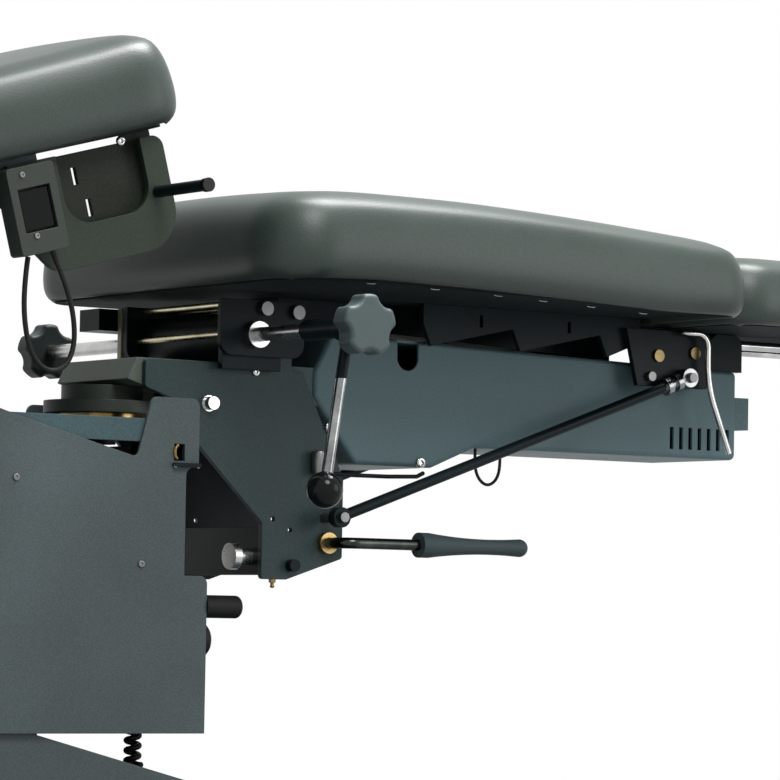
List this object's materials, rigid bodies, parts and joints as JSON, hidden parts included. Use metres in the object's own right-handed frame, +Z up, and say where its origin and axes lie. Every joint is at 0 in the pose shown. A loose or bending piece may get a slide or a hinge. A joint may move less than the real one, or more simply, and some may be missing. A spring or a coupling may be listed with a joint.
{
  "type": "flexion table",
  "caption": "clinic flexion table with a lifting column, a swinging and flexing foot section, a drop pelvic cushion, a tilting chest section and padded headpiece",
  "frame": {"origin": "on the floor, under the swing axis of the turntable that carries the foot section", "axes": "+X runs along the table towards the foot end, -Y is the side with the levers, +Z is up"},
  "size_m": [1.9336, 0.63, 0.7669],
  "materials": {
    "vinyl": "satin",
    "panel_paint": "satin",
    "frame_paint": "satin",
    "black_paint": "satin",
    "chrome": "polished",
    "zinc": "satin",
    "brass": "satin",
    "cream_plastic": "matte",
    "black_plastic": "gloss",
    "grey_plastic": "matte",
    "rubber": "matte",
    "plywood": "matte"
  },
  "bodies": {
    "base": {"base_plate": "frame_paint", "base_cover": "panel_paint", "lift_column_outer": "frame_paint", "actuator_body": "zinc", "curly_cord": "rubber"},
    "carriage": {"carriage_panels": "panel_paint", "carriage_end": "panel_paint", "carriage_top": "frame_paint", "lift_column_inner": "zinc", "actuator_rod": "chrome", "thrust_ring": "brass", "lock_pins": "black_paint", "buffers": "rubber", "mast": "frame_paint"},
    "swing": {"turntable": "black_paint", "swing_yoke": "black_paint"},
    "caudal": {"tower_plates": "frame_paint", "tower_ties": "chrome", "pivot_bolts": "chrome", "spine_tube": "frame_paint", "lever_bush": "brass", "drive_housing": "panel_paint", "drive_unit": "zinc", "drop_plates": "black_paint", "frame_fasteners": "zinc", "drop_cylinder": "black_paint", "cylinder_flanges": "cream_plastic", "cylinder_rods": "brass", "brace_rods": "black_paint", "hinge_brackets": "black_paint", "hinge_pins": "brass", "leg_guide": "black_paint", "drive_cable": "rubber", "bail_wire": "chrome"},
    "lever": {"drop_shaft": "chrome", "cocking_lever": "chrome", "lever_ball": "black_plastic"},
    "near_knob": {"knob_near": "grey_plastic"},
    "far_knob": {"knob_far": "grey_plastic"},
    "handle": {"flexion_handle": "chrome", "handle_grip": "black_plastic"},
    "pelvic": {"drop_rails": "black_paint", "pelvic_board": "plywood", "pelvic_cushion": "vinyl"},
    "leg": {"leg_board": "plywood", "leg_cushion": "vinyl", "leg_rods": "chrome", "leg_block": "frame_paint"},
    "thoracic": {"thoracic_board": "plywood", "thoracic_cushion": "vinyl", "thoracic_frame": "frame_paint", "tilt_brackets": "frame_paint", "sector_plates": "frame_paint", "switch_box": "panel_paint", "hand_cord": "rubber"},
    "rocker_switch": {"rocker": "black_plastic"},
    "release": {"release_handle": "black_paint", "release_cap": "black_plastic"},
    "head": {"head_frame": "frame_paint", "head_cushions": "vinyl"}
  },
  "joints": [
    {"name": "lift", "type": "slide", "parent": "base", "child": "carriage", "axis": [0, 0, 1], "range_m": [0, 0.2], "deforming": ["curly_cord"]},
    {"name": "swing", "type": "hinge", "parent": "carriage", "child": "swing", "pos_m": [0, 0, 0.44], "axis": [0, 0, 1], "range_deg": [-15, 15]},
    {"name": "flexion", "type": "hinge", "parent": "swing", "child": "caudal", "pos_m": [0.077, 0, 0.437], "axis": [0, 1, 0], "range_deg": [-5, 20]},
    {"name": "drop", "type": "hinge", "parent": "caudal", "child": "pelvic", "pos_m": [0.667, 0, 0.515], "axis": [0, -1, 0], "range_deg": [0, 0.75]},
    {"name": "cocking", "type": "hinge", "parent": "caudal", "child": "lever", "pos_m": [0.118, 0, 0.505], "axis": [0, 1, 0], "range_deg": [-35, 20]},
    {"name": "near_knob_turn", "type": "hinge", "parent": "lever", "child": "near_knob", "pos_m": [0.118, -0.276, 0.505], "axis": [0, 1, 0], "continuous": true},
    {"name": "far_knob_turn", "type": "hinge", "parent": "lever", "child": "far_knob", "pos_m": [0.118, 0.312, 0.505], "axis": [0, 1, 0], "continuous": true},
    {"name": "handle_turn", "type": "hinge", "parent": "caudal", "child": "handle", "pos_m": [0.217, 0, 0.305], "axis": [0, 1, 0], "range_deg": [-15, 40]},
    {"name": "leg_extension", "type": "slide", "parent": "caudal", "child": "leg", "axis": [1, 0, 0], "range_m": [0, 0.15]},
    {"name": "thoracic_tilt", "type": "hinge", "parent": "carriage", "child": "thoracic", "pos_m": [-0.3, 0, 0.59], "axis": [0, 1, 0], "range_deg": [-5, 15]},
    {"name": "release_twist", "type": "hinge", "parent": "thoracic", "child": "release", "pos_m": [-0.07639, -0.26, 0.62093], "axis": [0, 1, 0], "range_deg": [-25, 25]},
    {"name": "rocker_tip", "type": "hinge", "parent": "thoracic", "child": "rocker_switch", "pos_m": [-0.21613, -0.2303, 0.59384], "axis": [0.9659, 0, 0.2588], "range_deg": [-5, 5], "stiffness_Nm_per_rad": 0.05},
    {"name": "head_tilt", "type": "hinge", "parent": "thoracic", "child": "head", "pos_m": [-0.58271, 0, 0.5246], "axis": [0, 1, 0], "range_deg": [-20, 20]}
  ]
}
